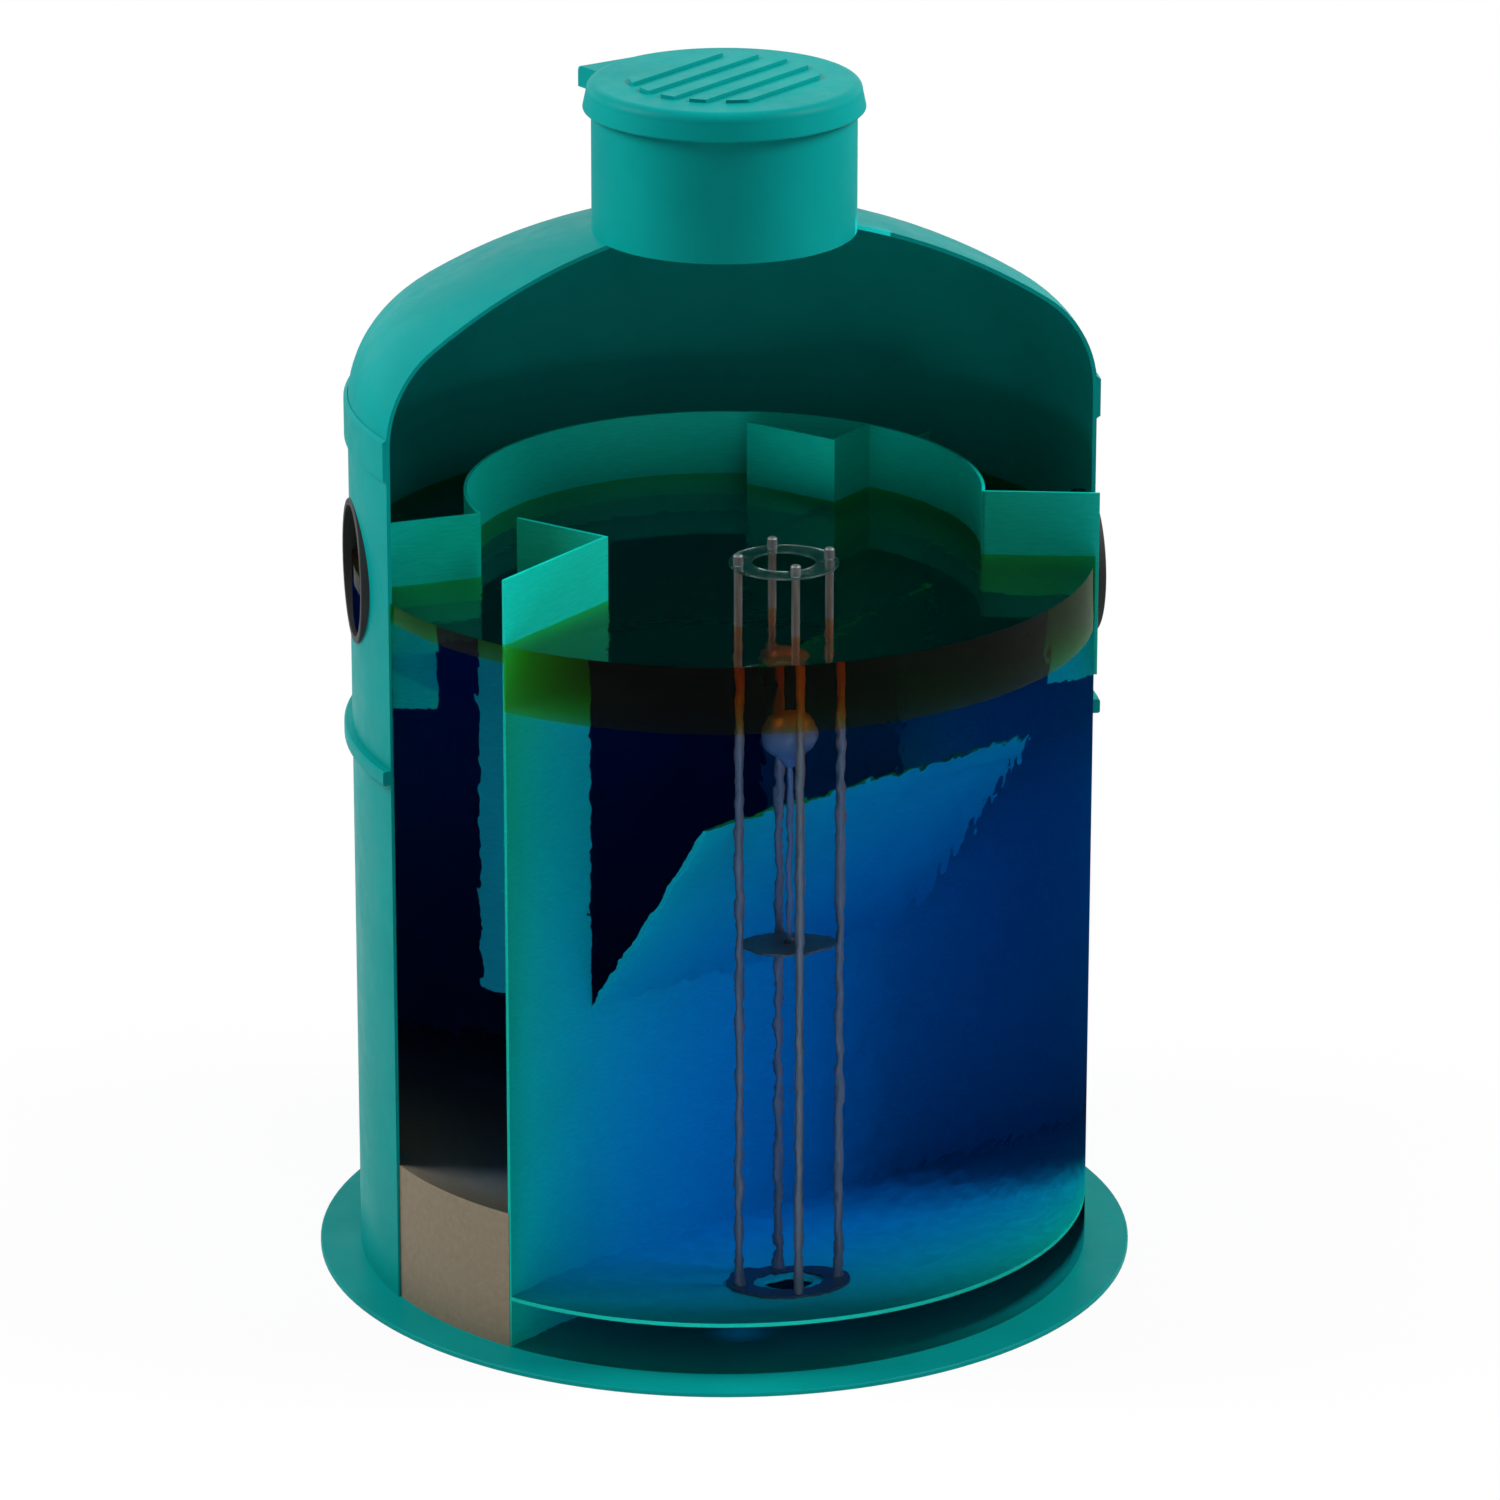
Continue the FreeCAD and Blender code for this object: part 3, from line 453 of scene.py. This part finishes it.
def liquid_skin(name, ior, thick_from, thin_from, oil_hex, front_mirror, top_mirror):
    material, tree, shader = new_finish(name)
    where = add(tree, "ShaderNodeTexCoord").outputs
    path = add(tree, "ShaderNodeLightPath").outputs
    oily = oil_behind(tree, where, thick_from, thin_from)
    mix = add(tree, "ShaderNodeMix", {"Factor": oily}, {"data_type": "RGBA"})
    mix.inputs[MIX_A].default_value = WHITE
    mix.inputs[MIX_B].default_value = colour(oil_hex)
    tint = mix.outputs[2]
    seen = seen_through(tree, where, ior, tint, oily, front_mirror, top_mirror)
    clear = light_through(tree, path, tint)
    straight = add(tree, "ShaderNodeMath", {0: path["Is Shadow Ray"], 1: path["Is Diffuse Ray"]},
                   {"operation": "MAXIMUM"}).outputs[0]
    swap = add(tree, "ShaderNodeMixShader", {0: straight, 1: seen, 2: clear}).outputs[0]
    wire(tree, tree.nodes["Material Output"], {"Surface": swap})
    tree.nodes.remove(shader)
    return material


# A still liquid against glass: what stands in it looks broken and wavy, and the top mirrors.
surface = liquid_skin("liquid_surface", ior=1.33, thick_from=oil_foot, thin_from=thin_foot,
                      oil_hex="FFE695", front_mirror=0.28, top_mirror=1.0)
print("skin:", surface.name)

# %% [markdown]
# ## Layers by rule
#
# Every content of the tank is the same kind of thing: a level layer with the tank's own plan.
# That is a rule, so one Geometry Nodes tree makes them all: it takes a flat plan, pulls it up by
# the layer's height, and closes the bottom with the plan turned over. Its inputs are the plan,
# the height and the finish.


# %% The layer tree
def layer_tree():
    tree = bpy.data.node_groups.new("level_layer", "GeometryNodeTree")
    for name, way, kind in (("Plan", "INPUT", "NodeSocketGeometry"),
                            ("Height", "INPUT", "NodeSocketFloat"),
                            ("Finish", "INPUT", "NodeSocketMaterial"),
                            ("Layer", "OUTPUT", "NodeSocketGeometry")):
        tree.interface.new_socket(name, in_out=way, socket_type=kind)
    given = add(tree, "NodeGroupInput").outputs
    up = add(tree, "ShaderNodeCombineXYZ", {"Z": given["Height"]}).outputs["Vector"]
    pulled = add(tree, "GeometryNodeExtrudeMesh", {"Mesh": given["Plan"], "Offset": up},
                 Individual=False).outputs["Mesh"]
    under = add(tree, "GeometryNodeFlipFaces", {"Mesh": given["Plan"]}).outputs["Mesh"]
    both = add(tree, "GeometryNodeJoinGeometry")
    for part in (pulled, under):
        wire(tree, both, {0: part})
    welded = add(tree, "GeometryNodeMergeByDistance", {"Geometry": both.outputs[0]},
                 Distance=0.0001)
    real = add(tree, "GeometryNodeRealizeInstances", {"Geometry": welded.outputs[0]})
    dressed = add(tree, "GeometryNodeSetMaterial", {"Geometry": real.outputs[0],
                                                    "Material": given["Finish"]})
    add(tree, "NodeGroupOutput", {0: dressed.outputs[0]})
    return tree


LAYER = layer_tree()
SOCKETS = {item.name: item.identifier for item in LAYER.interface.items_tree
           if item.in_out == "INPUT"}
print("layer tree inputs:", list(SOCKETS))

# %% [markdown]
# ## Plans
#
# The tank is open between two cuts. There the contents end on the wall's inner radius, free, as
# if the wall were glass. Elsewhere the plan runs a few millimetres into the wall and the
# partitions, so no thin air gap is left that would mirror the light. So each plan takes two
# radii, one free and one hidden in the wall, and changes between them at the cuts.

# %% Turns of the cuts and the partitions
CUT_FROM, CUT_TO = math.radians(198.5), math.radians(356.0)
PARTITION = math.radians(45)
PART_GAP = math.radians(0.05)  # keeps the two chambers' contents apart, inside the partitions
FULL_TURN = 2 * math.pi
ARC_STEPS = 360  # to the full turn


def arc(start, end, radius):
    """Points along a round stretch, about a degree apart."""
    steps = max(1, round((end - start) / FULL_TURN * ARC_STEPS))
    turns = [start + (end - start) * index / steps for index in range(steps + 1)]
    return [(radius * math.cos(turn), radius * math.sin(turn)) for turn in turns]


print("open side:", round(math.degrees(CUT_TO - CUT_FROM), 1), "degrees")


# %% Three plans
def round_plan(free, hidden):
    """The whole tank."""
    return arc(CUT_FROM, CUT_TO, free) + arc(CUT_TO, CUT_FROM + FULL_TURN, hidden)


def first_chamber_plan(free, hidden):
    """The half behind the partitions, where the inlet is and the sludge settles."""
    return (arc(PARTITION + PART_GAP, CUT_FROM, hidden)
            + arc(CUT_FROM, PARTITION + math.pi - PART_GAP, free))


def oil_chamber_plan(free, hidden):
    """The half before the partitions, where the oil gathers."""
    return (arc(PARTITION + math.pi + PART_GAP, CUT_TO, free)
            + arc(CUT_TO, PARTITION + FULL_TURN - PART_GAP, hidden))


print("corners of the round plan:", len(round_plan(inner_radius, in_the_wall)))

# %% [markdown]
# ## Pour the layers
#
# A real tank is filled with water first; the oil comes with it and gathers on top. The inclined
# plate leads it over into the oil chamber, so there the layer is thick, and only a film is left
# in the first chamber. The same order helps here: the skin goes round everything, then the water
# up to the oil's foot, then the oil. Each body stays a millimetre inside the skin, because two
# faces in one place would flicker.

# %% Pour a layer
SHARP_EDGE = math.radians(30)


def pour(name, plan, foot, top, finish):
    """Makes a layer from its plan with the layer tree and bakes it to a plain mesh on the tank."""
    flat = bpy.data.meshes.new(f"{name}_plan")
    flat.from_pydata([(x, y, foot) for x, y in plan], [], [range(len(plan))])
    flat.materials.append(finish)  # the bake keeps only what the plan has too
    maker_object = bpy.data.objects.new(f"{name}_plan", flat)
    scene.collection.objects.link(maker_object)
    maker = maker_object.modifiers.new("layer", "NODES")
    maker.node_group = LAYER
    maker[SOCKETS["Height"]] = top - foot
    maker[SOCKETS["Finish"]] = finish
    evaluated = maker_object.evaluated_get(bpy.context.evaluated_depsgraph_get())
    baked = bpy.data.meshes.new_from_object(evaluated)
    bpy.data.objects.remove(maker_object)
    baked.shade_smooth()
    baked.set_sharp_from_angle(angle=SHARP_EDGE)
    layer = bpy.data.objects.new(name, baked)
    scene.collection.objects.link(layer)
    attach(layer, "tank")
    print(name, "faces", len(baked.polygons), "finish", [slot.name for slot in baked.materials])


# %% The skin
SKIN_OUT = 0.002  # from the wall's inner radius outwards, on the open side
SKIN_DOWN = 0.004  # from the base disc's top down into the disc
skin_free, skin_hidden = inner_radius + SKIN_OUT, in_the_wall
skin_foot, skin_top = base_top - SKIN_DOWN, oil_top
pour("liquid_surface", round_plan(skin_free, skin_hidden), skin_foot, skin_top, surface)

# %% Water and oil
INSIDE = 0.001  # from a body to the skin round it
APART = 0.0005  # between two bodies
free, hidden = skin_free - INSIDE, skin_hidden - INSIDE
top = skin_top - INSIDE
pour("water", round_plan(free, hidden), skin_foot + INSIDE, oil_foot, water)
pour("oil", oil_chamber_plan(free, hidden), oil_foot + APART, top, oil)
pour("upper_water", first_chamber_plan(free, hidden), oil_foot + APART, thin_foot, water)
pour("thin_oil", first_chamber_plan(free, hidden), thin_foot + APART, top, oil)

# %% [markdown]
# ## Sludge
#
# What is heavier than water settles in the first chamber. It is a grey-brown paste: opaque,
# grainy and damp. It stands a millimetre proud of the skin, so it isn't seen through the water.

# %% Sludge
SLUDGE_OUT = 0.003  # from the wall's inner radius outwards, on the open side
# Silt and fibre are matt, with flocs that gather to lumps of 15 to 20 mm and shade each other.
sludge_mud = two_tone("settled_sludge", ("726654", "7F735F"), patch=17, detail=9.0, relief=0.3,
                      depth=0.003, stops=(0.3, 0.7), crumble=0.7, Roughness=0.7)
sludge_plan = first_chamber_plan(inner_radius + SLUDGE_OUT, in_the_wall)
pour("sludge", sludge_plan, base_top, sludge_top, sludge_mud)

# %% [markdown]
# ## Studio
#
# The picture has a plain white ground. The camera stands far off with a long lens, a little to
# the left of the cut and about twenty degrees up.


# %% Directions
def direction(turn, rise):
    """The unit vector that points so many degrees to the right of the front, and up."""
    turn, rise = math.radians(turn), math.radians(rise)
    level = math.cos(rise)
    return Vector((math.sin(turn) * level, -math.cos(turn) * level, math.sin(rise)))


print("the front is", tuple(direction(0, 0)))

# %% Camera
VIEW_TURN, VIEW_RISE = -10.0, 19.305
VIEW_DISTANCE, AIM_HEIGHT = 20.695 * tank_radius, 1.4082 * tank_radius
LONG_LENS, SENSOR = 184.2, 36.0  # mm
SIDE_SHIFT = 0.01709  # the tank stands a little left of the picture's middle
aim = Vector((0.0, 0.0, AIM_HEIGHT))
away = direction(VIEW_TURN, VIEW_RISE)
camera_data = bpy.data.cameras.new("camera")
camera_data.lens = LONG_LENS
camera_data.sensor_width = SENSOR
camera_data.shift_x = SIDE_SHIFT
camera_data.clip_end = 200.0
camera = bpy.data.objects.new("camera", camera_data)
camera.location = aim + away * VIEW_DISTANCE
camera.rotation_euler = away.to_track_quat("Z", "Y").to_euler()
scene.collection.objects.link(camera)
scene.camera = camera
print("camera", round(VIEW_DISTANCE, 2), "m away, lens", LONG_LENS, "mm")

# %% [markdown]
# ## Lamps
#
# Two large soft lamps stand left and right, so the round wall is bright at both edges and deeper
# in the middle. A weak one low in front reaches the water under the floor, which the side lamps
# miss. A small one on the oil and one in the dome stand for the light that a real liquid and a
# pale wall throw about inside; both are hidden from camera, mirror and glass, so only their light
# shows.

# %% A soft lamp
TANK_MIDDLE = Vector((0, 0, 1.3))


def lamp(name, turn, rise, distance, side, power):
    """A soft square lamp that looks at the tank's middle."""
    data = bpy.data.lights.new(name, "AREA")
    data.shape = "SQUARE"
    data.size = side
    data.energy = power
    unit = bpy.data.objects.new(name, data)
    out = direction(turn, rise)
    unit.location = TANK_MIDDLE + out * distance
    unit.rotation_euler = out.to_track_quat("Z", "Y").to_euler()
    scene.collection.objects.link(unit)
    print("lamp", name, power, "W")
    return unit


# %% Studio lamps
lamp("right", turn=76, rise=46, distance=7.0, side=3.0, power=450)
lamp("left", turn=-98, rise=42, distance=7.0, side=3.0, power=425)
low_fill = lamp("low_fill", turn=-10, rise=-16, distance=3.5, side=1.2, power=18)
low_fill.visible_glossy = False

# %% Lamps inside the tank
ABOVE_OIL = 0.003
UP_IN_DOME = 0.48
bounce = lamp("bounce", turn=0, rise=90, distance=0.5, side=0.4, power=1.6)
bounce.location = (0, 0, oil_top + ABOVE_OIL)
bounce.rotation_euler = (math.pi, 0, 0)  # looks up
dome_fill = lamp("dome_fill", turn=40, rise=0, distance=0.4, side=0.4, power=0.85)
dome_fill.location = (0.25, -0.15, wall_top + UP_IN_DOME)
for unit in (bounce, dome_fill):
    unit.visible_camera = unit.visible_glossy = unit.visible_transmission = False
    print(unit.name, "at", tuple(round(length, 2) for length in unit.location))

# %% [markdown]
# ## World
#
# The ground is plain white all round. A white world would also light the tank from every side and
# wash its colours out, so the Light Path node shows white to the camera, to mirrors and to glass,
# and a weaker light to everything else.

# %% World
AMBIENT = 0.16
world = bpy.data.worlds.new("studio")
scene.world = world
world.use_nodes = True
tree = world.node_tree
ambient = tree.nodes["Background"]
fill(ambient, {"Color": WHITE, "Strength": AMBIENT})
seen = add(tree, "ShaderNodeBackground", Color=WHITE, Strength=1.0)
path = add(tree, "ShaderNodeLightPath").outputs
either = add(tree, "ShaderNodeMath", {0: path["Is Camera Ray"], 1: path["Is Glossy Ray"]},
             {"operation": "MAXIMUM"}).outputs[0]
any_of_three = add(tree, "ShaderNodeMath", {0: either, 1: path["Is Transmission Ray"]},
                   {"operation": "MAXIMUM"}).outputs[0]
choice = add(tree, "ShaderNodeMixShader", {0: any_of_three, 1: ambient.outputs[0],
                                           2: seen.outputs[0]}).outputs[0]
wire(tree, tree.nodes["World Output"], {"Surface": choice})
print("world:", world.name, "ambient", AMBIENT)

# %% [markdown]
# ## Floor
#
# A floor of white paint would be grey beside the white world. So it glows white to the camera,
# and near the tank a tenth of it stays plain paint, so the tank's shadow shows faintly at its
# foot.

# %% Floor
FLOOR_HALF = 40.0
SHADOW_NEAR, SHADOW_FAR = 1.3, 3.2  # metres from the tank's middle between which the paint fades
GLOW_NEAR = 0.90  # what glows white there; the rest is plain paint
ground = bpy.data.meshes.new("floor")
corners = ((-1, -1), (1, -1), (1, 1), (-1, 1))
ground.from_pydata([(FLOOR_HALF * x, FLOOR_HALF * y, 0) for x, y in corners], [], [(0, 1, 2, 3)])
floor = bpy.data.objects.new("floor", ground)
scene.collection.objects.link(floor)
floor_paint, tree, shader = new_finish("studio_floor", Base_Color=colour("F4F4F4"), Roughness=0.9)
lit = add(tree, "ShaderNodeEmission", Color=WHITE, Strength=1.0).outputs[0]
where = add(tree, "ShaderNodeTexCoord").outputs["Object"]
reach = add(tree, "ShaderNodeVectorMath", {"Vector": where},
            {"operation": "LENGTH"}).outputs["Value"]
glow = add(tree, "ShaderNodeMapRange", {"Value": reach}, From_Min=SHADOW_NEAR, From_Max=SHADOW_FAR,
           To_Min=GLOW_NEAR, To_Max=1.0).outputs["Result"]
path = add(tree, "ShaderNodeLightPath").outputs
part = add(tree, "ShaderNodeMath", {0: path["Is Camera Ray"], 1: glow},
           {"operation": "MULTIPLY"}).outputs[0]
mixed = add(tree, "ShaderNodeMixShader", {0: part, 1: shader.outputs[0], 2: lit}).outputs[0]
wire(tree, tree.nodes["Material Output"], {"Surface": mixed})
ground.materials.append(floor_paint)
print("floor:", 2 * FLOOR_HALF, "m wide")

# %% [markdown]
# ## View transform
#
# The view transform is the plain one, so a colour renders about as it is written.

# %% Finish
scene.view_settings.view_transform = "Standard"
